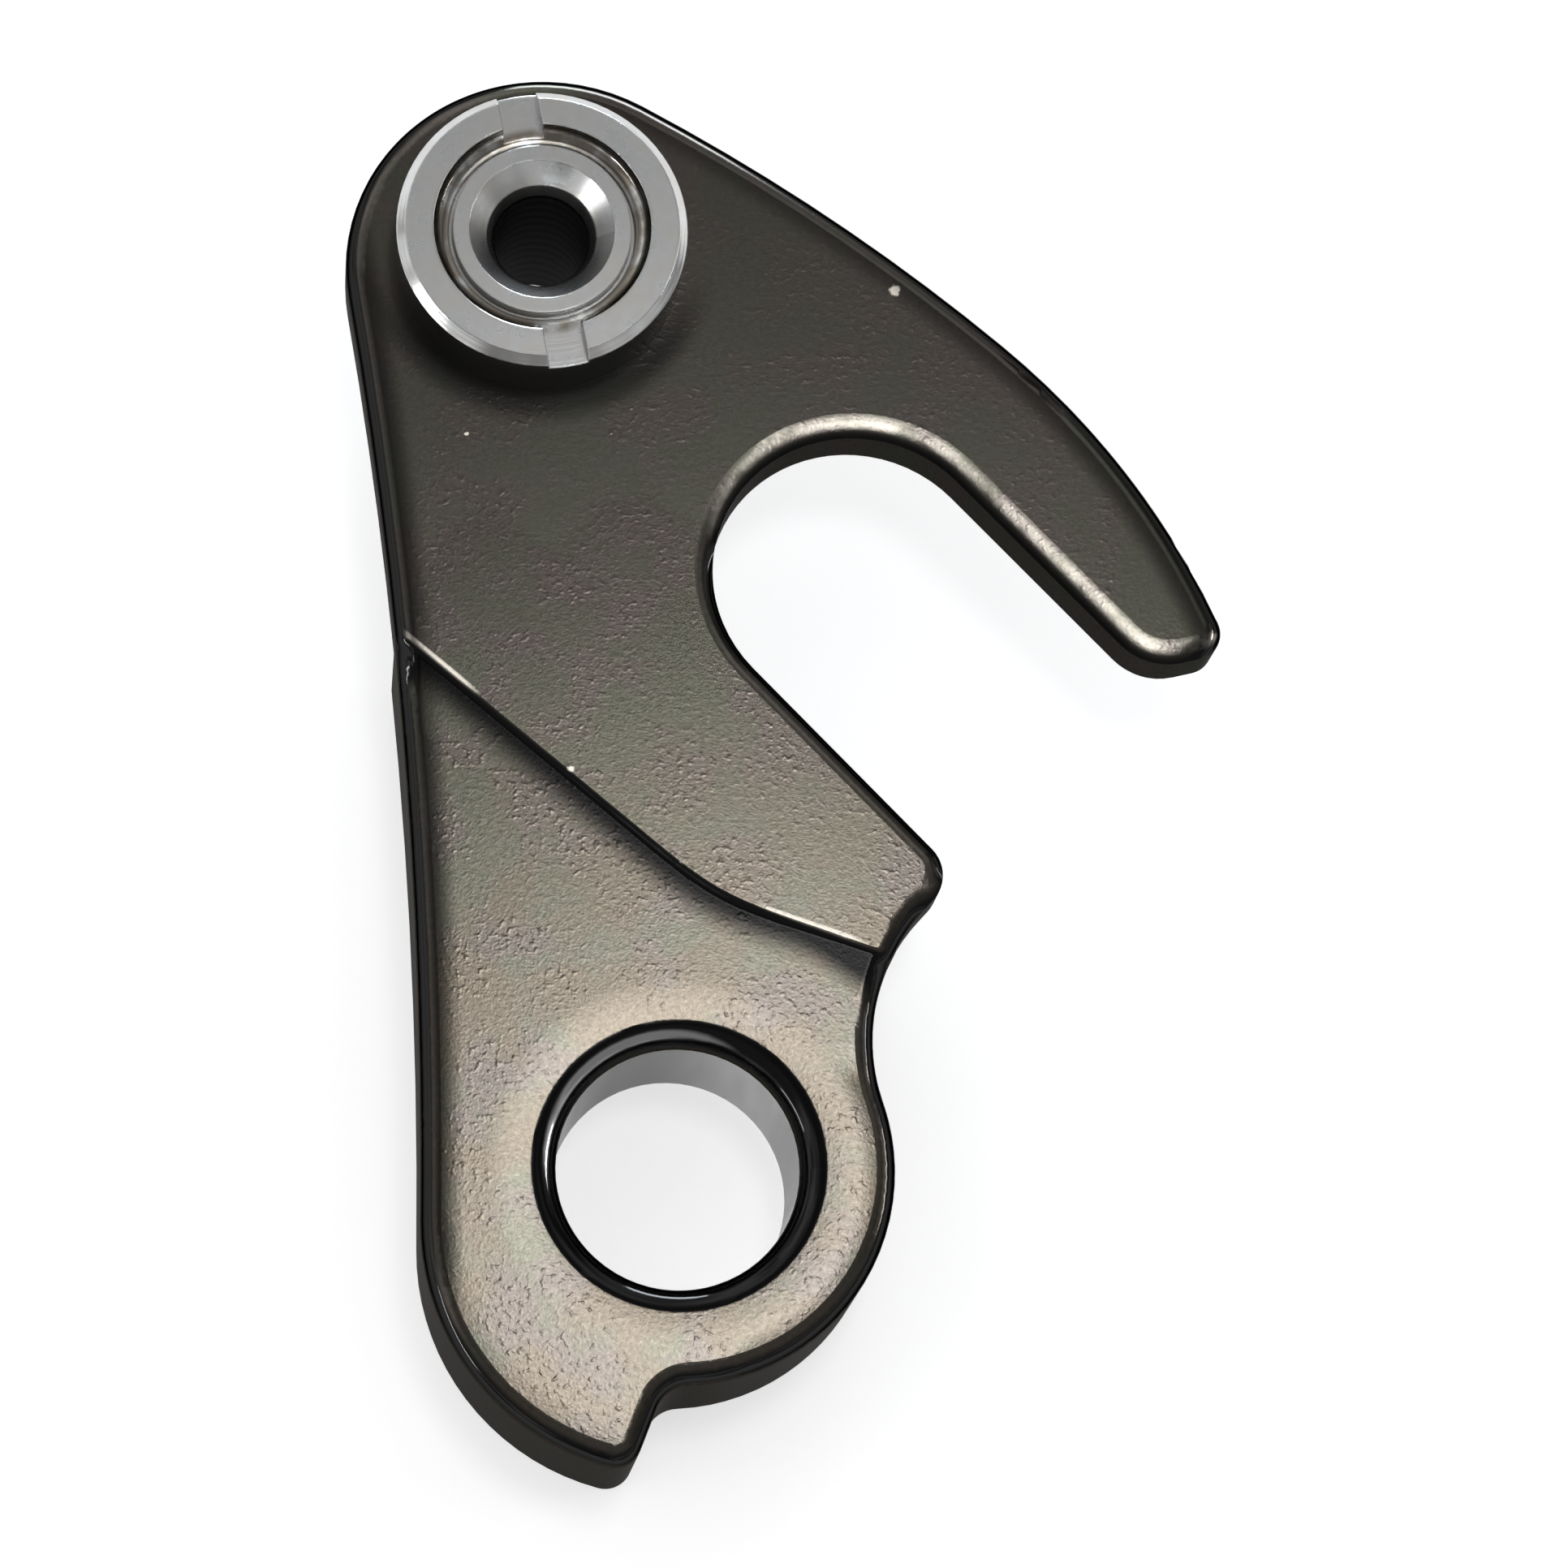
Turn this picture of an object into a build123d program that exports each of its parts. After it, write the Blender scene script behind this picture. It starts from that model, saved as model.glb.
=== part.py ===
"""Bicycle derailleur hanger: a hook-ended plate with a slotted sleeve nut in its round end.

Millimetres. The origin is on the axis of the derailleur hole, in the back face of the lower half.
+X is the side the hook's tip is on, +Y runs up to the round end and +Z out of the shown face.
"""
import os
from math import acos, atan2, cos, degrees, hypot, radians, sin, sqrt, tan

from build123d import *

# Thicknesses: the upper half stands a step above the lower one and is hollow behind, for the frame
LOWER_THICKNESS = 7.0
STEP_HEIGHT = 1.0
UPPER_THICKNESS = 3.0
UPPER_FACE = LOWER_THICKNESS + STEP_HEIGHT
FRAME_FACE = UPPER_FACE - UPPER_THICKNESS

# Derailleur hole and the boss around it
HOLE_RADIUS = 4.46  # crests of an M10 x 1 thread
HOLE_LIP = 0.95  # rounding of the mouth in the shown face
BOSS_RADIUS = 7.95

# Round end, and the nut that it carries near its middle
END = (-5.2, 34.23)
END_RADIUS = 7.64
NUT_AXIS = (-5.57, 34.6)

# Axle slot, open at its lower right end
SLOT_CENTRE = (6.5, 22.5)
SLOT_WIDTH = 10.8  # for a 10 mm axle
SLOT_HEADING = -45.6
SLOT_UPPER_RUN = 10.1  # straight length of the upper edge, to the hook's tip
SLOT_LOWER_RUN = 10.8  # straight length of the lower edge, to the corner
CORNER_ROUND = 1.4

# Hook's arm and the long top edge, as two arcs that run into each other and into the round end
TIP_WIDTH = 3.3
TIP_HEADING = 194.0
TIP_OUTER_ROUND = 1.0
TIP_INNER_ROUND = 2.4
ARM_RADIUS = 29.5
ARM_END = 21.3  # angle of the arm's arc where it meets the tip
TOP_RADIUS = 77.5

# Hollow neck between that corner and the boss
NECK_HEADING = 228.0
NECK_RUN = 1.8  # straight length from the corner to the hollow

# Tail with the stop tab for the derailleur's screw
TAIL_CENTRE = (-0.2, -2.05)
TAIL_MARGIN = 1.2  # how much wider the tail's arc is than the boss
TAIL_RADIUS = BOSS_RADIUS + TAIL_MARGIN
TAB_ANGLE = 261.2  # where the stop face leaves the tail's arc
TAB_HEADING = 249.2
TAB_ROUND = 1.0
NOTCH_RADIUS = 1.3

# Long hollow left side
SIDE_RADIUS = 200.0

# Step between the two faces: two straight runs and the bend between them
STEP_BEND = (1.2, 9.8)
STEP_LEFT_HEADING = 140.5
STEP_RIGHT_HEADING = -18.3
STEP_BEND_RADIUS = 12.0
STEP_FOOT = 1.05  # width of the hollow foot at the bend
STEP_LEFT_FLARE = 0.03  # how much the foot widens per millimetre of run, on either side of the bend
STEP_RIGHT_FLARE = 0.27

# Step in the back, nearer the round end, which turns square to the left side
BACK_BEND = (1.7, 10.7)
BACK_BEND_RADIUS = 9.0
BACK_LEFT_HEADING = 135.0
BACK_LEFT_RUN = 12.0
BACK_TURN_RADIUS = 3.0
BACK_END_HEADING = 175.0

# Edge rounding
FRONT_ROUND = 0.75
BACK_ROUND = 0.35

# Slotted sleeve nut
SLEEVE_RADIUS = 4.0
SLEEVE_CLEARANCE = 0.05
SLEEVE_CHAMFER = 0.3
NUT_THREAD_RADIUS = 1.77  # middle of an M4 thread
HEAD_RADIUS = 5.43
HEAD_HEIGHT = 3.0
HEAD_EDGE = 0.33
FLAT_INNER_RADIUS = 4.05
DISH_RADIUS = 3.5
DISH_DEPTH = 0.6
GROOVE_WIDTH = 0.17
GROOVE_DEPTH = 0.2
LIP_DEPTH = 0.3
LIP_WIDTH = 0.6
MOUTH_RADIUS = 2.05
MOUTH_DEPTH = 1.1
THREAD_DEPTH = 1.7
TOOL_SLOT_WIDTH = 1.5
TOOL_SLOT_DEPTH = 0.55
TOOL_SLOT_HEADING = 101.3

REACH = 60.0  # longer than the part in any direction


def step_from(point, angle, length):
    """The point that lies a length away at an angle in degrees."""
    return (point[0] + length * cos(radians(angle)), point[1] + length * sin(radians(angle)))


def angle_to(start, end):
    """The angle in degrees from one point to another."""
    return degrees(atan2(end[1] - start[1], end[0] - start[0]))


def arc(centre, radius, start, end):
    """Arc about a centre, clockwise if the end angle is the smaller one."""
    return CenterArc(centre, radius, start, end - start)


def meeting(first, near, second, far):
    """The point at given distances from two others, left of the way from the first to the second."""
    apart = hypot(second[0] - first[0], second[1] - first[1])
    turn = degrees(acos((near**2 + apart**2 - far**2) / (2 * near * apart)))
    return step_from(first, angle_to(first, second) + turn, near)


def hollow_beside(point, heading, radius):
    """Centre of an arc of a radius that lies right of a line's heading and touches it, and then the boss."""
    beside = step_from(point, heading - 90, radius)
    along = beside[0] * cos(radians(heading)) + beside[1] * sin(radians(heading))
    across = hypot(*beside) ** 2 - along**2
    return step_from(beside, heading, -along - sqrt((BOSS_RADIUS + radius) ** 2 - across))


def hollow_from(point, heading):
    """Radius of an arc that leaves a point along a heading, bends left and then touches the boss."""
    sideways = point[1] * cos(radians(heading)) - point[0] * sin(radians(heading))
    return (hypot(*point) ** 2 - BOSS_RADIUS**2) / (2 * (BOSS_RADIUS - sideways))


def outline():
    """The plate seen from above, clockwise from the left of its round end."""
    hole = (0.0, 0.0)
    side = meeting(TAIL_CENTRE, TAIL_RADIUS + SIDE_RADIUS, END, END_RADIUS + SIDE_RADIUS)

    slot_radius = SLOT_WIDTH / 2
    slot_upper = step_from(SLOT_CENTRE, SLOT_HEADING + 90, slot_radius)
    slot_lower = step_from(SLOT_CENTRE, SLOT_HEADING - 90, slot_radius)
    tip_inner = step_from(slot_upper, SLOT_HEADING, SLOT_UPPER_RUN)
    tip_outer = step_from(tip_inner, TIP_HEADING, -TIP_WIDTH)
    corner = step_from(slot_lower, SLOT_HEADING, SLOT_LOWER_RUN)

    arm = step_from(tip_outer, ARM_END, -ARM_RADIUS)
    top = meeting(arm, TOP_RADIUS - ARM_RADIUS, END, TOP_RADIUS - END_RADIUS)
    top_start = angle_to(top, END)
    top_end = angle_to(top, arm)

    neck_start = step_from(corner, NECK_HEADING, NECK_RUN)
    neck_radius = hollow_from(neck_start, NECK_HEADING)
    neck = step_from(neck_start, NECK_HEADING + 90, neck_radius)
    neck_end = angle_to(hole, neck)

    tab = step_from(TAIL_CENTRE, TAB_ANGLE, TAIL_RADIUS)
    notch = hollow_beside(tab, TAB_HEADING - 180, NOTCH_RADIUS)
    notch_start = angle_to(hole, notch)
    notch_end = step_from(notch, TAB_HEADING - 90, NOTCH_RADIUS)

    face = make_face(
        [
            arc(END, END_RADIUS, angle_to(END, side) % 360, top_start),
            arc(top, TOP_RADIUS, top_start, top_end),
            arc(arm, ARM_RADIUS, top_end, ARM_END),
            Line(tip_outer, tip_inner),
            Line(tip_inner, slot_upper),
            arc(SLOT_CENTRE, slot_radius, SLOT_HEADING + 90, SLOT_HEADING + 270),
            Line(slot_lower, corner),
            Line(corner, neck_start),
            arc(neck, neck_radius, NECK_HEADING - 90, neck_end + 180),
            arc(hole, BOSS_RADIUS, neck_end, notch_start),
            arc(notch, NOTCH_RADIUS, notch_start + 180, TAB_HEADING - 90),
            Line(notch_end, tab),
            arc(TAIL_CENTRE, TAIL_RADIUS, TAB_ANGLE, angle_to(TAIL_CENTRE, side) % 360),
            arc(side, SIDE_RADIUS, angle_to(side, TAIL_CENTRE), angle_to(side, END)),
        ]
    )
    rounds = (
        (tip_outer, TIP_OUTER_ROUND),
        (tip_inner, TIP_INNER_ROUND),
        (corner, CORNER_ROUND),
        (tab, TAB_ROUND),
    )
    for point, radius in rounds:
        face = fillet(face.vertices().sort_by_distance(point)[0], radius)
    return face


def foot_section(point, heading, width):
    """Section of the cut below the step, square to its line; the hollow foot runs out into the face."""
    foot = (width, 0)
    edge = (0, STEP_HEIGHT)
    sketch = make_face(
        [
            TangentArc(foot, edge, tangent=(-1, 0)),
            Polyline(edge, (0, 2 * STEP_HEIGHT), (REACH, 2 * STEP_HEIGHT), (REACH, 0), foot),
        ]
    )
    outwards = step_from((0, 0), heading - 90, 1)
    backwards = step_from((0, 0), heading + 180, 1)
    return Plane((*point, LOWER_THICKNESS), x_dir=(*outwards, 0), z_dir=(*backwards, 0)) * sketch


def step_cuts():
    """The three cuts that sink the lower face: left run, bend and right run of the step line."""
    arriving = STEP_LEFT_HEADING - 180
    turn = STEP_RIGHT_HEADING - arriving
    tangent = STEP_BEND_RADIUS * tan(radians(turn / 2))
    left_end = step_from(STEP_BEND, STEP_LEFT_HEADING, tangent)
    right_start = step_from(STEP_BEND, STEP_RIGHT_HEADING, tangent)
    left_far = step_from(left_end, STEP_LEFT_HEADING, REACH)
    right_far = step_from(right_start, STEP_RIGHT_HEADING, REACH)
    bend_centre = step_from(left_end, arriving + 90, STEP_BEND_RADIUS)

    sections = (
        foot_section(left_far, arriving, STEP_FOOT + STEP_LEFT_FLARE * REACH),
        foot_section(left_end, arriving, STEP_FOOT),
        foot_section(right_start, STEP_RIGHT_HEADING, STEP_FOOT),
        foot_section(right_far, STEP_RIGHT_HEADING, STEP_FOOT + STEP_RIGHT_FLARE * REACH),
    )
    left = loft(sections[:2], ruled=True)
    bend = revolve(sections[1], Axis((*bend_centre, 0), (0, 0, 1)), turn)
    right = loft(sections[2:], ruled=True)
    return left, bend, right


def behind_upper_half():
    """The hollow for the frame: all that lies on the round end's side of the step in the back."""
    turn = step_from(BACK_BEND, BACK_LEFT_HEADING, BACK_LEFT_RUN)
    left = step_from(turn, BACK_END_HEADING, REACH)
    right = step_from(BACK_BEND, STEP_RIGHT_HEADING, REACH)
    face = make_face(Polyline(left, turn, BACK_BEND, right, (right[0], REACH), (left[0], REACH), close=True))
    face = fillet(face.vertices().sort_by_distance(BACK_BEND)[0], BACK_BEND_RADIUS)
    face = fillet(face.vertices().sort_by_distance(turn)[0], BACK_TURN_RADIUS)
    return extrude(face, FRAME_FACE)


def round_edge(solid, point, height, radius):
    """Rounds the edge nearest a point, and every edge it runs smoothly into."""
    return fillet(solid.edges().sort_by_distance((*point, height))[0], radius)


def hanger_plate():
    """The hooked plate: thick below the step, thin above it, with both of its holes."""
    upper_side = step_from(END, 180, END_RADIUS)
    lower_side = step_from(TAIL_CENTRE, 225, TAIL_RADIUS)
    plate = extrude(outline(), UPPER_FACE)
    plate = round_edge(plate, lower_side, 0, BACK_ROUND)
    for cut in step_cuts():
        plate -= cut
    plate = round_edge(plate, upper_side, UPPER_FACE, FRONT_ROUND)
    plate = round_edge(plate, lower_side, LOWER_THICKNESS, FRONT_ROUND)
    plate -= behind_upper_half()
    plate = round_edge(plate, upper_side, FRAME_FACE, BACK_ROUND)

    plate -= Pos(*NUT_AXIS) * Cylinder(SLEEVE_RADIUS + SLEEVE_CLEARANCE, REACH)
    plate -= Cylinder(HOLE_RADIUS, REACH)
    return round_edge(plate, (HOLE_RADIUS, 0), LOWER_THICKNESS, HOLE_LIP)


def slotted_nut():
    """The sleeve nut: a turned head with a dished mouth, a sleeve to the table and two tool slots."""
    top = UPPER_FACE + HEAD_HEIGHT
    dish = top - DISH_DEPTH
    groove_inner = DISH_RADIUS - GROOVE_WIDTH
    dish_edge = (DISH_RADIUS, dish)
    flat_edge = (FLAT_INNER_RADIUS, top)
    turned = Polyline(
        flat_edge,
        (HEAD_RADIUS - HEAD_EDGE, top),
        (HEAD_RADIUS, top - HEAD_EDGE),
        (HEAD_RADIUS, UPPER_FACE),
        (SLEEVE_RADIUS, UPPER_FACE),
        (SLEEVE_RADIUS, SLEEVE_CHAMFER),
        (SLEEVE_RADIUS - SLEEVE_CHAMFER, 0),
        (NUT_THREAD_RADIUS, 0),
        (NUT_THREAD_RADIUS, top - THREAD_DEPTH),
        (MOUTH_RADIUS, top - MOUTH_DEPTH),
        (groove_inner - LIP_WIDTH, top - LIP_DEPTH),
        (groove_inner, top - LIP_DEPTH),
        (groove_inner, dish - GROOVE_DEPTH),
        (DISH_RADIUS, dish - GROOVE_DEPTH),
        dish_edge,
    )
    bowl = TangentArc(dish_edge, flat_edge, tangent=(1, 0))
    nut = revolve(Plane.XZ * make_face([turned, bowl]), Axis.Z)
    slot = Box(HEAD_RADIUS, TOOL_SLOT_WIDTH, TOOL_SLOT_DEPTH, align=(Align.MIN, Align.CENTER, Align.MAX))
    for heading in (TOOL_SLOT_HEADING, TOOL_SLOT_HEADING + 180):
        nut -= Pos(0, 0, top) * Rot(0, 0, heading) * Pos(DISH_RADIUS, 0, 0) * slot
    return Pos(*NUT_AXIS) * nut


os.makedirs("parts", exist_ok=True)
export_step(hanger_plate(), "parts/hanger_plate.step")
export_step(slotted_nut(), "parts/slotted_nut.step")
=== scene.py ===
"""Looks of a bicycle derailleur hanger: blasted gunmetal plate, bright sleeve nut, pale studio floor."""
import math
from types import SimpleNamespace

import bpy
from mathutils import Matrix, Vector


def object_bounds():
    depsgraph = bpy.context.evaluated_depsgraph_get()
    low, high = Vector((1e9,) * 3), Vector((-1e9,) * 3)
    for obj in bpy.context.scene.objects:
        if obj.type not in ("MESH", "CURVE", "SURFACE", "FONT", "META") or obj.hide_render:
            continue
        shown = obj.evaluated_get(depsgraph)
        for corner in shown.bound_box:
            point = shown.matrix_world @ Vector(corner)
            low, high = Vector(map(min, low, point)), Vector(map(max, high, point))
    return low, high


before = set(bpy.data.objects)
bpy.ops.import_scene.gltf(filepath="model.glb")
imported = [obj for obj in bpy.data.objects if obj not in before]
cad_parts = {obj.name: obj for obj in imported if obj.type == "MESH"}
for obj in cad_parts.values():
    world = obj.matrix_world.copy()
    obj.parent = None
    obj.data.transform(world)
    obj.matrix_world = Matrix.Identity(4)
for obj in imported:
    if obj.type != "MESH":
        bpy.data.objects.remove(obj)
cad_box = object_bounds()

MM = 0.001
PHOTO_SIZE = 1932  # pixels on each side of the frame

# Camera, in millimetres of the part's own frame
CAMERA_PLACE = (-13.0, -34.91, 190.0)
CAMERA_TARGET = (3.804, 14.395, 7.0)
FOCAL_PIXELS = 6322.8
SENSOR_WIDTH = 36.0
NEAREST_SEEN = 10.0

# Places on the part, in millimetres
BORE_RADIUS = 4.46
BORE_TOP = 6.05
BORE_MARGIN = 0.2
LIP_RADIUS = 5.41
NUT_AXIS = (-5.57, 34.6)
NUT_THREAD_RADIUS = 1.77
NUT_THREAD_PITCH = 0.7
THREAD_MARGIN = 0.05
NUT_CONE_RADIUS = 2.7
NUT_DISH_RADIUS = 3.75
NUT_ROUNDING = 0.1
ROUNDING_SAMPLES = 4
UPPER_FACE = 8.0  # height of the face that the nut sits on
HOLE_CENTRE = (0.0, 0.0)
BOSS_RADIUS = 7.95
SLOT_CENTRE = (6.5, 22.5)
SLOT_RADIUS = 5.4
SLOT_HEADING = -45.6
TOP_CENTRE = (-37.78, -27.57)
TOP_RADIUS = 77.5
ARM_CENTRE = (-6.86, 9.14)
ARM_RADIUS = 29.5
NECK_CENTRE = (14.33, 4.86)
NECK_RADIUS = 7.19
SIDE_CENTRE = (-209.34, -3.72)
SIDE_RADIUS = 200.0
TAIL_CENTRE = (-0.2, -2.05)
TAIL_RADIUS = 9.15
STEP_BEND = (1.2, 9.8)
STEP_LEFT_HEADING = 140.5
STEP_RIGHT_HEADING = -18.3
STEP_BEND_BLEND = 1.2  # how far the two runs of the step are blended at the bend
HOLLOW_WIDENING = 0.9
ROLL_WIDTH = 1.6  # how far from the edges the faces begin to sink
AXLE_SLOT_CORNER = (0.0, 19.0)  # the rims above and right of this are rubbed by the axle, and partly given a painted highlight
NICKS_AND_GLINTS = (  # x, y and radius of each: the first is a nick, the other three are painted glints
    (7.92, 33.61, 0.26),
    (-8.19, 27.36, 0.10),
    (-4.17, 14.49, 0.15),
    (-0.10, 11.02, 0.10),
)
SPOT_CORE = 0.5  # share of a spot's radius that is fully bright
SPOT_RAGGEDNESS = 0.12

# Where one look turns into another: the places, in millimetres, at which a share is 0 and at which it is 1
TAN_HEIGHTS = (20.0, 6.0)
CALM_HEIGHTS = (8.0, 26.0)
TAIL_END = (-3.0, -1.0)
BOSS_ACROSS = (1.0, 3.0)
BOSS_UP = (5.0, 3.0)
TOP_JOINT = (-20.0, 20.0)  # in square millimetres
LIP_BLEND = (LIP_RADIUS - 0.08, LIP_RADIUS + 0.04)
# Painted shade along the arm's and left side's edges: distances from them at which it is none and full
BORDER_SHADE_REACH = (1.5, 0.5)
RIM_REACH = (2.6, 1.2)
# where the painted shade in the step's hollow ends at the step's edge
STEP_EDGE = (0.0, -0.1)
HOLLOW_WIDENS = (4.0, 8.5)
# where that painted shade fades out below the step
HOLLOW_SHADE_FADE = (0.15, 1.3)
UPPER_SLOPE_START = (-1.2, -0.9)
UPPER_SLOPE_END = (-0.10, -0.22)
LOWER_SLOPE_START = (-0.05, 0.15)
LOWER_SLOPE_END = (2.35, 1.95)
SIDE_MARGIN = (-0.5, -0.9)
NECK_MARGIN = (-0.4, -0.8)
STEP_LINE_RISE = 0.2  # how far above the step's edge its painted highlight line is
STEP_LINE = (0.14, 0.04)
# where the painted highlight along the step's edge runs near its left and right ends
LEFT_LINE = (-7.4, -8.4)
RIGHT_LINE_START = (2.6, 3.6)
RIGHT_LINE_END = (6.8, 5.8)
# Painted shade on the face below the nut: distances from its axis and heights over which it fades
UNDER_NUT = (7.0, 6.0)
UNDER_NUT_HEIGHTS = (NUT_AXIS[1], NUT_AXIS[1] - 4.0)
DISH_BAND = (0.45, 0.10)

# The same for parts of the surface's normal
FRONT = 0.05  # least upward part of a normal in front
FACE_TILT = (0.80, 0.998)
WALL_TILT = (0.45, 0.25)
RIM_SIDE = (-0.2, 0.3)
# normal parts of the rubbed rims, which also carry a painted highlight
RUBBED_SIDE = (0.04, 0.22)
RUBBED_TILT = (0.60, 0.82)
# Painted highlight on the hole's lip: its heading, and the normal parts at which it starts and ends
CRESCENT_HEADING = (0.6, 0.8)  # right and down
CRESCENT_SIDE = (0.26, 0.42)
CRESCENT_START = (0.68, 0.80)
CRESCENT_END = (0.96, 0.90)
# where the bore's painted light turns from its left wall's grey to its right wall's lighter grey
BORE_SIDES = (0.2, -0.8)
FLAT_TILT = (0.95, 0.99)

# Noise: scale a millimetre, detail and roughness, and the values at which a share is 0 and at which it is 1
DRIFT_NOISE = (0.45,)
DRIFT_RANGE = (0.40, 0.60)
TAN_NOISE = (0.33,)
TAN_RANGE = (0.38, 0.60)
TAN_OFFSET = (31.0, 17.0, 5.0)
SPECKLE_NOISE = (5.0, 3.0, 0.7)
GRAIN_NOISE = (9.0, 2.0, 0.6)
LUMP_NOISE = (4.0, 1.0)
LUMP_RANGE = (0.48, 0.95)
RUB_NOISE = (1.2, 3.0, 0.6)
SPOT_NOISE = (6.0, 2.0)
FACET_NOISE = (0.8, 1.0)
FACET_STRETCH = (1.0, 1.0, 0.1)
STAIN_NOISE = (0.9, 3.0)
STAIN_RANGE = (0.35, 0.70)
DISH_DARK_RANGE = (0.35, 0.60)
RING_NOISE = (9.0, 3.0, 0.7)
FIBRE_NOISE = (0.05, 2.0)

# Shares and factors, at a share of 0 and of 1 where there are two
SPECKLE = (0.65, 1.35)
CALM = (0.95, 0.6)
LUMP_CLUSTERS = (0.25, 1.0)
# how much of the faces' plating is left at the arm's and left side's edges under their painted shade
BORDER_SHADE_SHARE = (1.0, 0.5)
RIM_SOFTNESS = 0.75  # how much gentler the axle slot's rim looks than it is
RIGHT_LINE_SHARE = 0.5
RUB_SHARE = (-0.2, 0.5)
# how dark the painted shade below the nut is
UNDER_NUT_SHADE_SHARE = 0.8
WALL_SHARE = 0.3  # how much of the faces' plating the walls have; the rest is the edges' near-black painted shade
DISH_DARKENING = (0.2, 0.9)

# Colours: greys of the plating that drift into each other; near-black painted shade of the edges, walls and
# the step's hollow; grey of the lip's painted highlight; bare metal, also used for painted highlights and
# glints; a bore with painted light on its right; and the nut, with a darker dish band and a thread painted
# dark as shade
OLIVE = (0.112, 0.110, 0.089, 1.0)
PLUM = (0.120, 0.106, 0.095, 1.0)
TAN = (0.121, 0.105, 0.085, 1.0)
# Near-black painted shade of the edges and walls, also used for the painted shade below the nut
EDGE_SHADE_LEVEL = 0.024
# Near-black of the painted shade in the step's hollow
HOLLOW_SHADE_LEVEL = 0.011
# Grey of the painted highlight on the hole's lip
LIP_HIGHLIGHT_LEVEL = 0.5
BORE_PAINTED_LEVELS = (0.55, 0.95)  # of its left and its right; the right is painted lighter, as painted light
# Bare metal, also the colour of the painted highlights and glints
BARE_AND_HIGHLIGHT_COLOUR = (0.90, 0.84, 0.74, 1.0)
NUT_SILVER = (0.60, 0.61, 0.61, 1.0)
NUT_STAIN = (0.56, 0.55, 0.53, 1.0)
NUT_DISH_DARK = (0.22, 0.19, 0.15, 1.0)
# Near-black of the nut's thread: painted shade in its deep hole
THREAD_SHADE_LEVEL = 0.015

# Glancing tints and roughness; the edges' lower glancing tint adds to their painted shade at a slant
EDGE_TINT = 0.3
FACE_TINT = 0.5
NUT_TINT = 0.8
EDGE_ROUGHNESS = 0.10
WALL_ROUGHNESS = 0.5
FACE_ROUGHNESS = (0.20, 0.27)
BARE_ROUGHNESS = 0.4
BORE_ROUGHNESS = 0.22
NUT_SLOPE_ROUGHNESS = (0.08, 0.16)
NUT_FLAT_ROUGHNESS = (0.24, 0.32)
THREAD_ROUGHNESS = 0.7

# Heights of the texture in the faces, in the bore and on the nut, in millimetres
GRAIN_HEIGHT = 0.0034
LUMP_HEIGHT = 0.008
EDGE_ROLL = 0.09
TAIL_ROLL = 0.04
HOLE_ROLL = 0.04
FACET_HEIGHT = 0.4
RING_HEIGHT = 0.003
TURN_HEIGHT = 0.004

# Floor, in millimetres, and its greys and glow
FLOOR_RADIUS = 3000.0
FLOOR_SIDES = 96
FLOOR_GREYS = (0.80, 0.84)
FLOOR_GLOW = 0.59

# Sky: its levels, and the parts of a direction at which one level turns into another
HORIZON_LEVEL = 0.5
SKY_LEVEL = 0.8
ZENITH_LEVEL = 0.20
CARD_LEVEL = 0.35
SKY_HEIGHT = (0.05, 0.20)
ZENITH_HEIGHT = (0.75, 0.92)
SKY_SIDES = (0.8, -0.8)
SIDE_FACTORS = (0.7, 1.2)  # of the right and the left
PATCH_NOISE = (2.2,)
PATCH_RANGE = (0.35, 0.65)
PATCH_FACTORS = (0.3, 1.7)
CARD_BEHIND = (-0.10, -0.35)
CARD_HEIGHT = (0.20, 0.40)

# Lamps: name, place, point looked at, width and height in millimetres, watts and colour
PLATE_MIDDLE = (0, 10, 7)
HOLE_TOP = (0, 0, 7)
WHITE = (1.0, 1.0, 1.0)
DAYLIGHT = (0.86, 0.92, 1.0)
LAMPS = (
    ("overhead", (48, 73, 500), PLATE_MIDDLE, (88, 88), 0.30, WHITE),
    ("back_window", (60, 425, 58), PLATE_MIDDLE, (210, 112), 1.7, DAYLIGHT),
    ("right_strip", (420, 60, 120), PLATE_MIDDLE, (200, 14), 0.3, WHITE),
    ("left_strip", (-420, -150, 100), HOLE_TOP, (200, 14), 0.3, WHITE),
)


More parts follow.
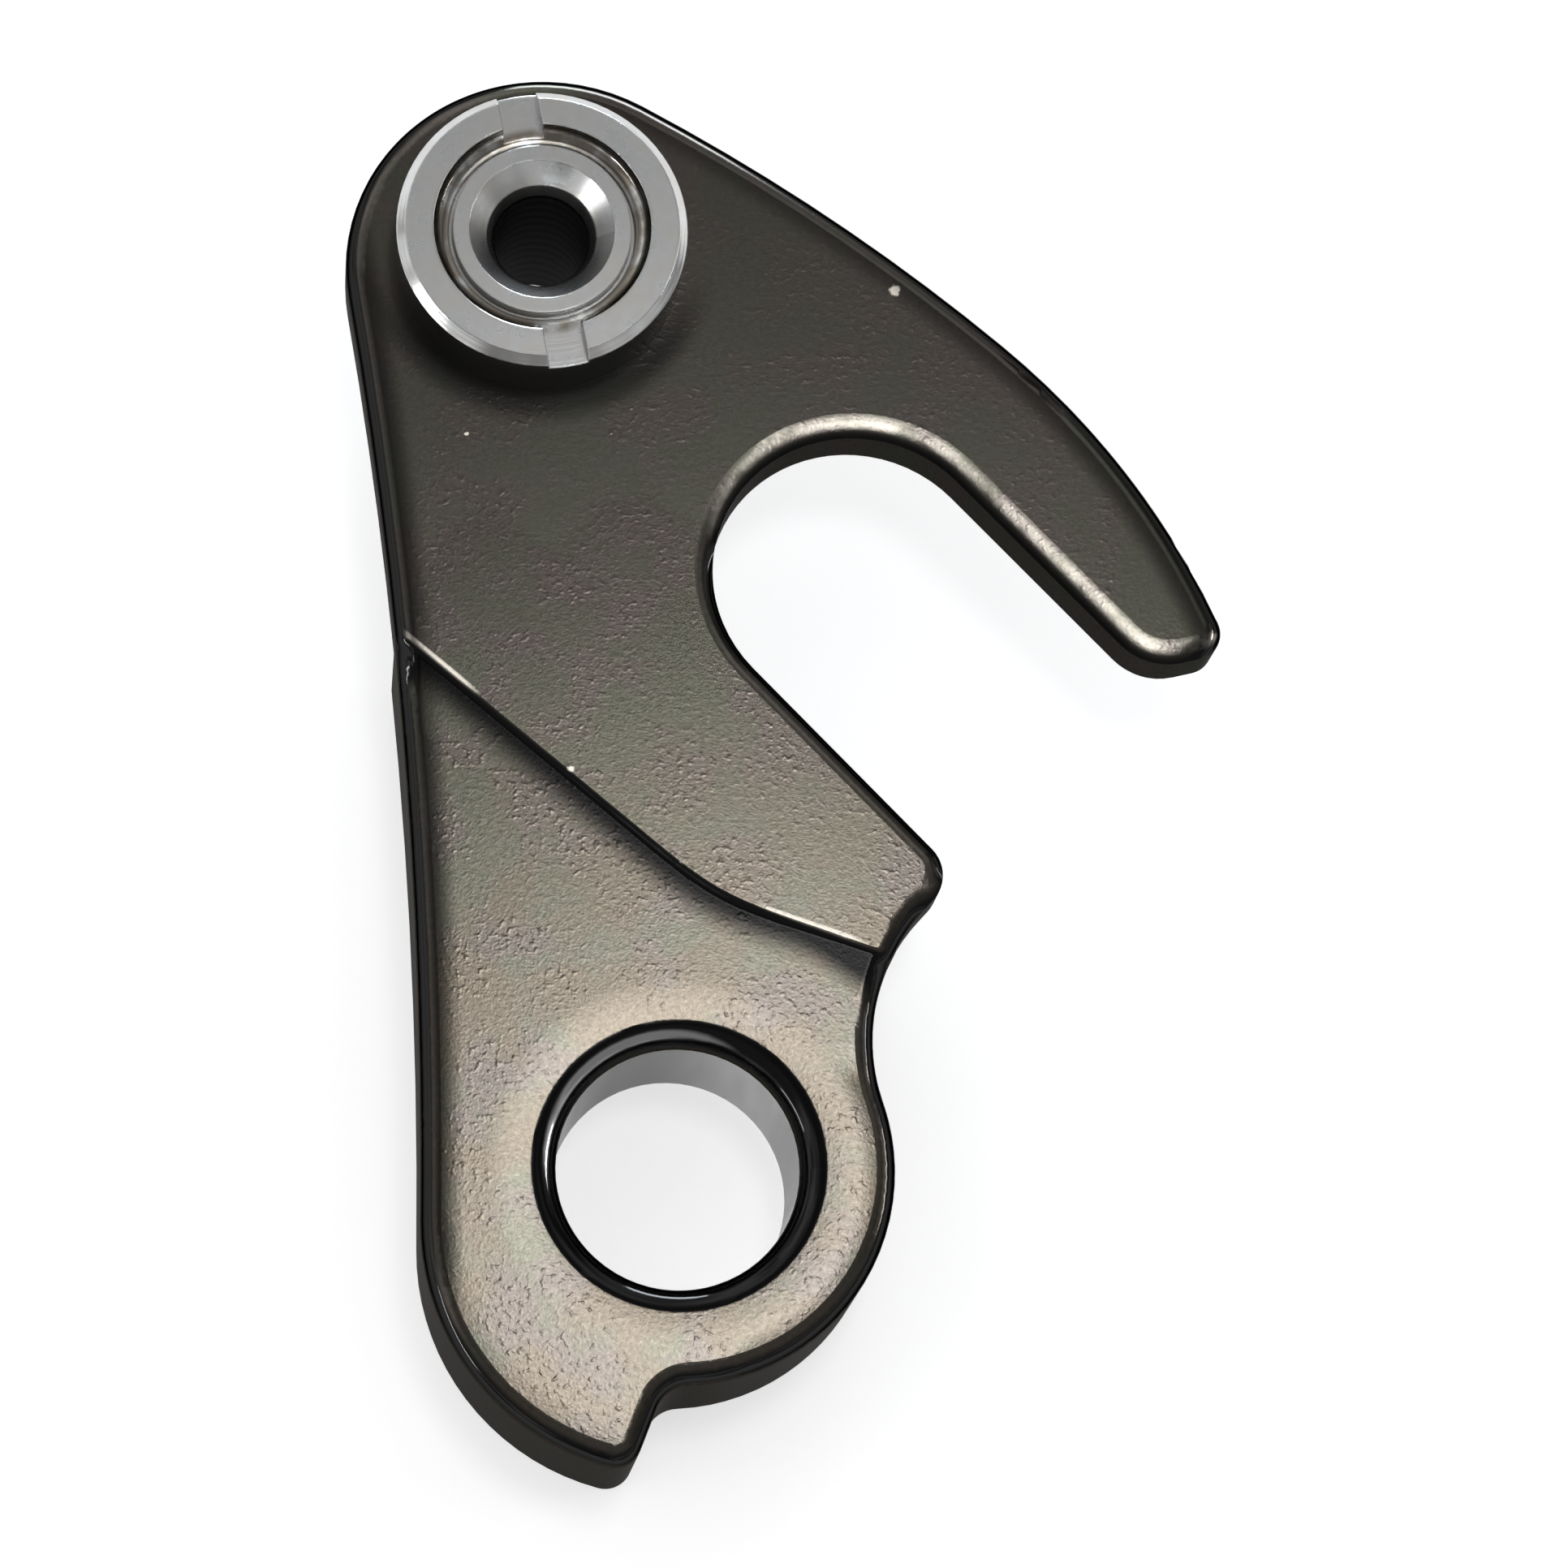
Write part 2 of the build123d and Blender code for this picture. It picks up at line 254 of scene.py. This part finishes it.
class Nodes:
    """Short calls for building one node tree."""

    def __init__(self, tree):
        self.tree = tree
        self.tree.nodes.clear()

    def add(self, kind, inputs=None, **settings):
        node = self.tree.nodes.new(kind)
        for name, value in settings.items():
            setattr(node, name, value)
        for name, value in (inputs or {}).items():
            self.feed(node.inputs[name], value)
        return node

    def feed(self, socket, value):
        if isinstance(value, bpy.types.NodeSocket):
            self.tree.links.new(value, socket)
        else:
            socket.default_value = value

    def math(self, operation, first, second=0.0):
        return self.add("ShaderNodeMath", {0: first, 1: second}, operation=operation).outputs[0]

    def times(self, first, *others):
        """Product of two or more values."""
        product = first
        for other in others:
            product = self.math("MULTIPLY", product, other)
        return product

    def largest(self, first, *others):
        """Largest of two or more values."""
        top = first
        for other in others:
            top = self.math("MAXIMUM", top, other)
        return top

    def rise(self, value, low, high):
        """0 below low, 1 above high and a smooth rise between them; it falls if low is the larger one."""
        inputs = {"Value": value, "From Min": low, "From Max": high}
        return self.add("ShaderNodeMapRange", inputs, interpolation_type="SMOOTHSTEP").outputs[0]

    def spread(self, value, low, high):
        """Takes a value from 0 to 1 to the range from low to high."""
        return self.add("ShaderNodeMapRange", {"Value": value, "To Min": low, "To Max": high}).outputs[0]

    def blend(self, share, first, second):
        """Colour that goes from the first to the second as share goes from 0 to 1."""
        node = self.add("ShaderNodeMix", data_type="RGBA")
        self.feed(node.inputs["Factor"], share)
        self.feed(node.inputs[6], first)
        self.feed(node.inputs[7], second)
        return node.outputs[2]

    def mix(self, share, first, second):
        """Number that goes from the first to the second as share goes from 0 to 1."""
        node = self.add("ShaderNodeMix", data_type="FLOAT")
        self.feed(node.inputs["Factor"], share)
        self.feed(node.inputs[2], first)
        self.feed(node.inputs[3], second)
        return node.outputs[0]

    def noise(self, vector, scale, detail=2.0, roughness=0.5):
        inputs = {"Vector": vector, "Scale": scale, "Detail": detail, "Roughness": roughness}
        return self.add("ShaderNodeTexNoise", inputs).outputs["Fac"]

    def vector_math(self, operation, vector, inputs):
        return self.add("ShaderNodeVectorMath", {0: vector, **inputs}, operation=operation).outputs[0]

    def millimetres(self):
        """The point on the part, in millimetres."""
        place = self.add("ShaderNodeTexCoord").outputs["Object"]
        return self.vector_math("SCALE", place, {"Scale": 1 / MM})

    def split(self, vector):
        return self.add("ShaderNodeSeparateXYZ", {0: vector}).outputs

    def normal_parts(self):
        """Parts of the surface's normal along X, Y and Z."""
        return self.split(self.add("ShaderNodeTexCoord").outputs["Normal"])

    def from_axis(self, x, y, axis=(0.0, 0.0)):
        """Distance from an upright axis."""
        across = self.math("POWER", self.math("SUBTRACT", x, axis[0]), 2.0)
        along = self.math("POWER", self.math("SUBTRACT", y, axis[1]), 2.0)
        return self.math("SQRT", self.math("ADD", across, along))

    def turned_up(self, share):
        """The surface's normal, turned towards straight up as share goes from 0 to 1."""
        node = self.add("ShaderNodeMix", data_type="VECTOR")
        self.feed(node.inputs["Factor"], share)
        self.feed(node.inputs[4], self.add("ShaderNodeNewGeometry").outputs["Normal"])
        self.feed(node.inputs[5], (0.0, 0.0, 1.0))
        return self.vector_math("NORMALIZE", node.outputs[1], {})

    def bump(self, height, normal):
        """Normal of a surface with a height in millimetres."""
        inputs = {"Strength": 1.0, "Distance": MM, "Height": height, "Normal": normal}
        return self.add("ShaderNodeBump", inputs).outputs[0]


def grey(level):
    return (level, level, level, 1.0)


def new_material(name):
    material = bpy.data.materials.new(name)
    material.use_nodes = True
    return material, Nodes(material.node_tree)


def metal_shader(n, colour, roughness, normal, glancing_tint):
    """Metal with the given colour, roughness, normal and glancing tint, as the material's surface."""
    shader = n.add("ShaderNodeBsdfPrincipled", {"Metallic": 1.0, "Specular Tint": glancing_tint})
    n.feed(shader.inputs["Base Color"], colour)
    n.feed(shader.inputs["Roughness"], roughness)
    n.feed(shader.inputs["Normal"], normal)
    n.add("ShaderNodeOutputMaterial", {"Surface": shader.outputs[0]})


def plating_colour(n, point, y):
    """Speckled grey of the faces, which drifts between olive, plum and, in the lower half, tan."""
    olive_or_plum = n.blend(n.rise(n.noise(point, *DRIFT_NOISE), *DRIFT_RANGE), OLIVE, PLUM)
    other_point = n.vector_math("ADD", point, {1: TAN_OFFSET})
    tan_drift = n.rise(n.noise(other_point, *TAN_NOISE), *TAN_RANGE)
    colour = n.blend(n.times(tan_drift, n.rise(y, *TAN_HEIGHTS)), olive_or_plum, TAN)
    speckle = n.spread(n.noise(point, *SPECKLE_NOISE), *SPECKLE)
    return n.vector_math("SCALE", colour, {"Scale": speckle})


def face_height(n, point, y):
    """Texture of the blasted face: fine grain and clusters of small lumps, calmer in the upper half."""
    grain = n.times(n.noise(point, *GRAIN_NOISE), GRAIN_HEIGHT)
    clusters = n.rise(n.noise(point, *DRIFT_NOISE), *DRIFT_RANGE)
    lumps = n.rise(n.noise(point, *LUMP_NOISE), *LUMP_RANGE)
    lumps = n.times(lumps, n.spread(clusters, *LUMP_CLUSTERS), LUMP_HEIGHT)
    calm = n.spread(n.rise(y, *CALM_HEIGHTS), *CALM)
    return n.times(n.math("ADD", grain, lumps), calm)


def within(n, x, y, centre, radius):
    """Distance inwards from a circle."""
    return n.math("SUBTRACT", radius, n.from_axis(x, y, centre))


def from_slot(n, x, y):
    """Distance from the axle slot, which is round at its upper end and straight from there."""
    heading = math.radians(SLOT_HEADING)
    right = n.math("SUBTRACT", x, SLOT_CENTRE[0])
    up = n.math("SUBTRACT", y, SLOT_CENTRE[1])
    along = n.math("ADD", n.times(right, math.cos(heading)), n.times(up, math.sin(heading)))
    across = n.math("SUBTRACT", n.times(up, math.cos(heading)), n.times(right, math.sin(heading)))
    return n.math("SUBTRACT", n.from_axis(n.math("MINIMUM", along, 0.0), across), SLOT_RADIUS)


def edge_distances(n, x, y):
    """Distances from the edges of the arm, the left side, the tail, the boss and the hole."""
    beyond_joint = n.times(n.math("SUBTRACT", y, ARM_CENTRE[1]), TOP_CENTRE[0] - ARM_CENTRE[0])
    before_joint = n.times(n.math("SUBTRACT", x, ARM_CENTRE[0]), TOP_CENTRE[1] - ARM_CENTRE[1])
    on_top = n.rise(n.math("SUBTRACT", before_joint, beyond_joint), *TOP_JOINT)
    arm = n.mix(on_top, within(n, x, y, ARM_CENTRE, ARM_RADIUS), within(n, x, y, TOP_CENTRE, TOP_RADIUS))
    side = n.times(within(n, x, y, SIDE_CENTRE, SIDE_RADIUS), -1.0)
    tail = n.mix(n.rise(y, *TAIL_END), within(n, x, y, TAIL_CENTRE, TAIL_RADIUS), ROLL_WIDTH)
    on_boss = n.times(n.rise(x, *BOSS_ACROSS), n.rise(y, *BOSS_UP))
    boss = n.mix(on_boss, ROLL_WIDTH, within(n, x, y, HOLE_CENTRE, BOSS_RADIUS))
    hole = n.times(within(n, x, y, HOLE_CENTRE, LIP_RADIUS), -1.0)
    return arm, side, tail, boss, hole


def roll_off(n, distances):
    """How far the faces sink towards their edges."""
    sunk = 0.0
    for distance, depth in zip(distances, (EDGE_ROLL, EDGE_ROLL, TAIL_ROLL, EDGE_ROLL, HOLE_ROLL)):
        nearness = n.math("SUBTRACT", 1.0, n.times(distance, 1 / ROLL_WIDTH))
        share = n.add("ShaderNodeClamp", {"Value": nearness}).outputs[0]
        sunk = n.math("ADD", sunk, n.times(n.math("POWER", share, 2.0), depth))
    return sunk


def below_line(n, x, y, heading):
    """Distance below a line that runs through the step's bend towards +X."""
    across = n.times(n.math("SUBTRACT", x, STEP_BEND[0]), math.sin(math.radians(heading)))
    along = n.times(n.math("SUBTRACT", y, STEP_BEND[1]), math.cos(math.radians(heading)))
    return n.math("SUBTRACT", across, along)


def below_step(n, x, y):
    """Distance below the edge of the step between the two faces."""
    left = below_line(n, x, y, STEP_LEFT_HEADING - 180)
    right = below_line(n, x, y, STEP_RIGHT_HEADING)
    bend = n.add("ShaderNodeMath", {0: left, 1: right, 2: STEP_BEND_BLEND}, operation="SMOOTH_MAX")
    return bend.outputs[0]


def beyond_hollow(n, x, below):
    """Distance below the step, less what its hollow widens by towards the neck."""
    return n.math("SUBTRACT", below, n.times(n.rise(x, *HOLLOW_WIDENS), HOLLOW_WIDENING))


def outside_hollow_shade(n, below, beyond):
    """Share of the faces' grey left by the painted shade in the step's hollow, which fades to black from
    the lower face up to the step's edge.
    """
    return n.largest(n.rise(below, *STEP_EDGE), n.rise(beyond, *HOLLOW_SHADE_FADE))


def beside_step(n, x, y, below, beyond):
    """Share of the gentle slopes above and below the step, which look as level as the faces."""
    above = n.times(n.rise(below, *UPPER_SLOPE_START), n.rise(below, *UPPER_SLOPE_END))
    foot = n.times(n.rise(below, *LOWER_SLOPE_START), n.rise(beyond, *LOWER_SLOPE_END))
    from_side = n.rise(within(n, x, y, SIDE_CENTRE, SIDE_RADIUS), *SIDE_MARGIN)
    from_neck = n.rise(within(n, x, y, NECK_CENTRE, NECK_RADIUS), *NECK_MARGIN)
    return n.times(n.math("ADD", above, foot), from_side, from_neck)


def painted_step_highlights(n, x, below):
    """Share of a painted highlight, in the bare metal's colour, along the step's edge near its two ends."""
    line = n.rise(n.math("ABSOLUTE", n.math("ADD", below, STEP_LINE_RISE)), *STEP_LINE)
    right_end = n.times(n.rise(x, *RIGHT_LINE_START), n.rise(x, *RIGHT_LINE_END), RIGHT_LINE_SHARE)
    return n.times(line, n.math("ADD", n.rise(x, *LEFT_LINE), right_end))


def rubbed_rims_and_highlight(n, point, x, y, down, upright):
    """Share of bare metal on the rims that face the axle: rubbed metal, and partly a painted highlight."""
    right_of_corner = n.math("GREATER_THAN", x, AXLE_SLOT_CORNER[0])
    above_corner = n.math("GREATER_THAN", y, AXLE_SLOT_CORNER[1])
    facing = n.times(n.rise(down, *RUBBED_SIDE), n.rise(upright, *RUBBED_TILT))
    return n.times(right_of_corner, above_corner, facing, n.spread(n.noise(point, *RUB_NOISE), *RUB_SHARE))


def nicks_and_painted_glints(n, point, x, y):
    """Share of bare metal in a small nick of the face, and of painted glints in the same colour."""
    ragged = n.spread(n.noise(point, *SPOT_NOISE), -SPOT_RAGGEDNESS, SPOT_RAGGEDNESS)
    share = 0.0
    for across, along, radius in NICKS_AND_GLINTS:
        distance = n.math("ADD", n.from_axis(x, y, (across, along)), ragged)
        share = n.largest(share, n.rise(distance, radius, SPOT_CORE * radius))
    return share


def plate_zones(n, point):
    """The plate's kinds of surface, each as a share from 0 to 1, and what they are found from."""
    x, y, z = n.split(point)
    normal = n.normal_parts()
    down = n.times(normal["Y"], -1.0)
    in_front = n.math("GREATER_THAN", normal["Z"], FRONT)
    below = below_step(n, x, y)
    beyond = beyond_hollow(n, x, below)
    slopes = n.times(beside_step(n, x, y, below, beyond), in_front)
    soft_rim = n.times(n.rise(from_slot(n, x, y), *RIM_REACH), n.rise(down, *RIM_SIDE), RIM_SOFTNESS)
    levelled = n.largest(slopes, n.times(soft_rim, in_front))
    level = n.mix(levelled, n.math("ABSOLUTE", normal["Z"]), 1.0)

    from_hole = n.from_axis(x, y)
    in_bore = n.math("LESS_THAN", from_hole, BORE_RADIUS + BORE_MARGIN)
    distances = edge_distances(n, x, y)
    # Painted shade: the faces darken towards the arm's and the left side's edges.
    border_shade = n.rise(n.math("MINIMUM", distances[0], distances[1]), *BORDER_SHADE_REACH)
    # Painted shade in the step's hollow, on the front only.
    fade = n.mix(in_front, 1.0, outside_hollow_shade(n, below, beyond))
    face = n.times(n.rise(level, *FACE_TILT), n.rise(from_hole, *LIP_BLEND))
    face = n.times(face, n.spread(border_shade, *BORDER_SHADE_SHARE), fade)
    # A nick, painted glints and the painted highlight along the step's edge, on the faces' front.
    nicks_and_highlights = n.times(n.largest(nicks_and_painted_glints(n, point, x, y), painted_step_highlights(n, x, below)), face, in_front)
    return SimpleNamespace(
        x=x, y=y, normal=normal, down=down, level=level, distances=distances,
        in_front=in_front, slopes=slopes, levelled=levelled, face=face,
        wall=n.rise(level, *WALL_TILT),
        lip=n.math("LESS_THAN", from_hole, LIP_RADIUS),
        bore=n.times(in_bore, n.math("LESS_THAN", z, BORE_TOP)),
        satin=n.largest(face, slopes),
        # bare metal, together with the painted highlights and glints
        bare=n.largest(rubbed_rims_and_highlight(n, point, x, y, down, normal["Z"]), nicks_and_highlights),
    )


def lip_painted_highlight(n, zone):
    """Share of the painted highlight, a bright crescent, on the hole's lip."""
    right, down = CRESCENT_HEADING
    heading = n.math("ADD", n.times(zone.down, down), n.times(zone.normal["X"], right))
    lit = n.rise(heading, *CRESCENT_SIDE)
    return n.times(zone.lip, lit, n.rise(zone.level, *CRESCENT_START), n.rise(zone.level, *CRESCENT_END))


def plate_colour(n, point, zone):
    """Colour of the plate: plating; edges in a near-black painted shade, which is also painted below the
    nut and in the step's hollow; a painted highlight on the lip; bare metal with painted highlights; and a
    silver bore with painted light on its right.
    """
    # Painted shade on the face below the nut, in the edges' near-black grey.
    near_nut = n.rise(n.from_axis(zone.x, zone.y, NUT_AXIS), *UNDER_NUT)
    darkening = n.times(near_nut, n.rise(zone.y, *UNDER_NUT_HEIGHTS), zone.in_front, UNDER_NUT_SHADE_SHARE)
    plating = n.blend(darkening, plating_colour(n, point, zone.y), grey(EDGE_SHADE_LEVEL))
    # A painted highlight, a bright crescent, on the hole's lip.
    edges = n.blend(lip_painted_highlight(n, zone), grey(EDGE_SHADE_LEVEL), grey(LIP_HIGHLIGHT_LEVEL))
    # Walls keep a little of the plating; the rest is the edges' painted shade.
    edges = n.blend(n.times(zone.wall, WALL_SHARE), edges, plating)
    # The slopes beside the step take the hollow's painted shade.
    edges = n.blend(zone.slopes, edges, grey(HOLLOW_SHADE_LEVEL))
    colour = n.blend(zone.face, edges, plating)
    # Bare metal, and painted highlights and glints in its colour.
    colour = n.blend(zone.bare, colour, BARE_AND_HIGHLIGHT_COLOUR)
    # Silver bore with painted light: its right-hand wall lighter than its left.
    silver = n.blend(n.rise(zone.normal["X"], *BORE_SIDES), grey(BORE_PAINTED_LEVELS[0]), grey(BORE_PAINTED_LEVELS[1]))
    return n.blend(zone.bore, colour, silver)


def plate_roughness(n, point, zone):
    """Roughness of the plate: smooth edges, satin faces, matt walls."""
    roughness = n.mix(zone.wall, EDGE_ROUGHNESS, WALL_ROUGHNESS)
    grain = n.spread(n.noise(point, *GRAIN_NOISE), *FACE_ROUGHNESS)
    roughness = n.mix(zone.satin, roughness, grain)
    roughness = n.mix(zone.bare, roughness, BARE_ROUGHNESS)
    return n.mix(zone.bore, roughness, BORE_ROUGHNESS)


def plate_height(n, point, zone):
    """Height of the plate's texture: blasted faces and walls, facets in the bore, edges that sink."""
    outer_wall = n.times(zone.wall, n.math("SUBTRACT", 1.0, zone.bore))
    blasted = n.times(face_height(n, point, zone.y), n.largest(zone.satin, zone.bare, outer_wall))
    drawn_out = n.vector_math("MULTIPLY", point, {1: FACET_STRETCH})
    facets = n.times(n.noise(drawn_out, *FACET_NOISE), zone.bore, FACET_HEIGHT)
    return n.math("SUBTRACT", n.math("ADD", blasted, facets), roll_off(n, zone.distances))


def gunmetal():
    """Plating on a blasted plate: satin faces, smooth edges in a near-black painted shade, rubbed rims
    partly given a painted highlight, and a silver bore with painted light on its right.
    """
    material, n = new_material("gunmetal")
    point = n.millimetres()
    zone = plate_zones(n, point)
    normal = n.bump(plate_height(n, point, zone), n.turned_up(zone.levelled))
    tint = n.blend(zone.face, grey(EDGE_TINT), grey(FACE_TINT))
    metal_shader(n, plate_colour(n, point, zone), plate_roughness(n, point, zone), normal, tint)
    return material


def nut_colour(n, z, from_axis, thread, stains):
    """Colour of the nut: stained silver, a darker mottled band along the dish and a threaded hole painted
    near-black as shade.
    """
    silver = n.blend(n.rise(stains, *STAIN_RANGE), NUT_SILVER, NUT_STAIN)
    from_dish = n.math("ABSOLUTE", n.math("SUBTRACT", from_axis, NUT_DISH_RADIUS))
    in_dish = n.times(n.rise(from_dish, *DISH_BAND), n.math("GREATER_THAN", z, UPPER_FACE))
    darkening = n.times(in_dish, n.spread(n.rise(stains, *DISH_DARK_RANGE), *DISH_DARKENING))
    # The thread's near-black is painted shade.
    return n.blend(thread, n.blend(darkening, silver, NUT_DISH_DARK), grey(THREAD_SHADE_LEVEL))


def nut_height(n, z, from_axis, thread):
    """Height of the nut's texture: fine turning rings, and turns of thread in its hole."""
    ring_point = n.add("ShaderNodeCombineXYZ", {0: from_axis, 1: z}).outputs[0]
    rings = n.times(n.noise(ring_point, *RING_NOISE), RING_HEIGHT)
    turns = n.times(n.math("SINE", n.times(z, 2 * math.pi / NUT_THREAD_PITCH)), TURN_HEIGHT)
    return n.mix(thread, rings, turns)


def bright_plating():
    """Turned and plated nut: satin flats, bright slopes, a darker band along the dish and a threaded hole
    painted dark as shade.
    """
    material, n = new_material("bright_plating")
    point = n.millimetres()
    x, y, z = n.split(point)
    from_axis = n.from_axis(x, y, NUT_AXIS)
    thread = n.math("LESS_THAN", from_axis, NUT_THREAD_RADIUS + THREAD_MARGIN)
    cone = n.math("LESS_THAN", from_axis, NUT_CONE_RADIUS)
    satin = n.largest(n.rise(n.normal_parts()["Z"], *FLAT_TILT), cone)
    stains = n.noise(point, *STAIN_NOISE)
    colour = nut_colour(n, z, from_axis, thread, stains)
    roughness = n.mix(satin, n.spread(stains, *NUT_SLOPE_ROUGHNESS), n.spread(stains, *NUT_FLAT_ROUGHNESS))
    roughness = n.mix(thread, roughness, THREAD_ROUGHNESS)
    rounded = n.add("ShaderNodeBevel", {"Radius": NUT_ROUNDING * MM}, samples=ROUNDING_SAMPLES).outputs[0]
    normal = n.bump(nut_height(n, z, from_axis, thread), rounded)
    metal_shader(n, colour, roughness, normal, grey(NUT_TINT))
    return material


def floor_material():
    """Matt white board, as pale as the background it makes for the eye and for bright metal."""
    material, n = new_material("floor")
    fibres = n.noise(n.millimetres(), *FIBRE_NOISE)
    board = n.add("ShaderNodeBsdfDiffuse")
    n.feed(board.inputs["Color"], n.blend(fibres, grey(FLOOR_GREYS[0]), grey(FLOOR_GREYS[1])))
    path = n.add("ShaderNodeLightPath").outputs
    seen = n.largest(path["Is Camera Ray"], path["Is Glossy Ray"], path["Is Transmission Ray"])
    glow = n.add("ShaderNodeEmission", {"Strength": n.times(seen, FLOOR_GLOW)})
    both = n.add("ShaderNodeAddShader", {0: board.outputs[0], 1: glow.outputs[0]})
    n.add("ShaderNodeOutputMaterial", {"Surface": both.outputs[0]})
    return material


def make_floor():
    """Round pale floor under the part."""
    corners = []
    for side in range(FLOOR_SIDES):
        angle = 2 * math.pi * side / FLOOR_SIDES
        corners.append((FLOOR_RADIUS * MM * math.cos(angle), FLOOR_RADIUS * MM * math.sin(angle), 0.0))
    mesh = bpy.data.meshes.new("floor")
    mesh.from_pydata(corners, [], [range(FLOOR_SIDES)])
    floor = bpy.data.objects.new("floor", mesh)
    floor.location.z = cad_box[0].z
    mesh.materials.append(floor_material())
    bpy.context.scene.collection.objects.link(floor)


def make_world():
    """Uneven grey studio: brighter on the left, dim overhead, with a dark card behind the camera."""
    world = bpy.data.worlds.new("studio")
    world.use_nodes = True
    n = Nodes(world.node_tree)
    heading = n.add("ShaderNodeTexCoord").outputs["Generated"]
    right, back, up = n.split(heading)
    level = n.mix(n.rise(up, *SKY_HEIGHT), HORIZON_LEVEL, SKY_LEVEL)
    level = n.times(level, n.mix(n.rise(right, *SKY_SIDES), *SIDE_FACTORS))
    patches = n.rise(n.noise(heading, *PATCH_NOISE), *PATCH_RANGE)
    level = n.times(level, n.spread(patches, *PATCH_FACTORS))
    level = n.mix(n.rise(up, *ZENITH_HEIGHT), level, ZENITH_LEVEL)
    card = n.times(n.rise(back, *CARD_BEHIND), n.rise(up, *CARD_HEIGHT))
    level = n.mix(card, level, CARD_LEVEL)
    sky = n.add("ShaderNodeBackground", {"Strength": level})
    n.add("ShaderNodeOutputWorld", {"Surface": sky.outputs[0]})
    bpy.context.scene.world = world


def make_lamp(name, place, target, size, power, colour):
    """Rectangular lamp that looks at a point; places and sizes in millimetres, power in watts."""
    lamp = bpy.data.lights.new(name, "AREA")
    lamp.color = colour
    lamp.shape = "RECTANGLE"
    lamp.size = size[0] * MM
    lamp.size_y = size[1] * MM
    lamp.energy = power
    box = bpy.data.objects.new(name, lamp)
    box.location = Vector(place) * MM
    box.rotation_euler = (Vector(target) - Vector(place)).to_track_quat("-Z", "Y").to_euler()
    bpy.context.scene.collection.objects.link(box)


def make_camera():
    """Camera at the photograph's viewpoint, upright along the part."""
    lens = bpy.data.cameras.new("camera")
    lens.sensor_width = SENSOR_WIDTH
    lens.lens = FOCAL_PIXELS / PHOTO_SIZE * SENSOR_WIDTH
    lens.clip_start = NEAREST_SEEN * MM
    lens.clip_end = 2 * FLOOR_RADIUS * MM
    look = (Vector(CAMERA_TARGET) - Vector(CAMERA_PLACE)).normalized()
    right = look.cross(Vector((0, 1, 0))).normalized()
    camera = bpy.data.objects.new("camera", lens)
    turned = Matrix((right, right.cross(look), -look)).transposed().to_4x4()
    camera.matrix_world = Matrix.Translation(Vector(CAMERA_PLACE) * MM) @ turned
    bpy.context.scene.collection.objects.link(camera)
    bpy.context.scene.camera = camera


def dress(node, material):
    """Gives a node of the frame its finish."""
    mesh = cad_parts[node].data
    mesh.materials.clear()
    mesh.materials.append(material)


dress("hanger_plate", gunmetal())
dress("slotted_nut", bright_plating())

make_floor()
make_world()
for lamp_row in LAMPS:
    make_lamp(*lamp_row)
make_camera()

bpy.context.scene.view_settings.view_transform = "Standard"
